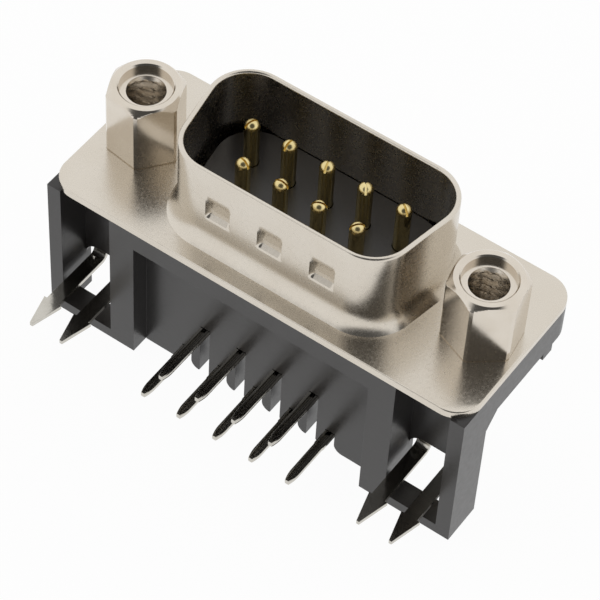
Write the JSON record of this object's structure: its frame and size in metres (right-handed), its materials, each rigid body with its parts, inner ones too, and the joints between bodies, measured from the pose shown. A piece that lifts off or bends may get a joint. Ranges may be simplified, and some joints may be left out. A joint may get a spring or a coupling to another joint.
{
  "type": "d-sub connector",
  "caption": "Right-angle board connector with pins in a drawn metal D shroud, hexagonal jack sockets, a black moulded housing with a tail comb, and spring board locks.",
  "frame": {"origin": "the centre of the flange's front face, on the middle line of the D shroud", "axes": "+Z is the mating direction, -Y faces the circuit board, +X runs along the flange"},
  "size_m": [0.0308, 0.0167, 0.0186],
  "materials": {
    "shell_plating": "warm bright tin plating over drawn steel, fine mottled grain on the flange",
    "housing_plastic": "semi-gloss black glass-filled moulding",
    "contact_plating": "pale gold flash on the pins, bright tin on the tails",
    "jack_nickel": "warm bright nickel plating over a turned bar",
    "lock_tin": "bright tin plating over stamped sheet",
    "insert_brass": "satin turned metal"
  },
  "bodies": {
    "root": {"front_shell": "shell_plating", "housing": "housing_plastic", "contact_1": "contact_plating", "contact_2": "contact_plating", "contact_3": "contact_plating", "contact_4": "contact_plating", "contact_5": "contact_plating", "contact_6": "contact_plating", "contact_7": "contact_plating", "contact_8": "contact_plating", "contact_9": "contact_plating", "jackscrew_left": "jack_nickel", "jackscrew_right": "jack_nickel", "boardlock_left": "lock_tin", "boardlock_right": "lock_tin", "insert_left": "insert_brass", "insert_right": "insert_brass"}
  },
  "joints": []
}
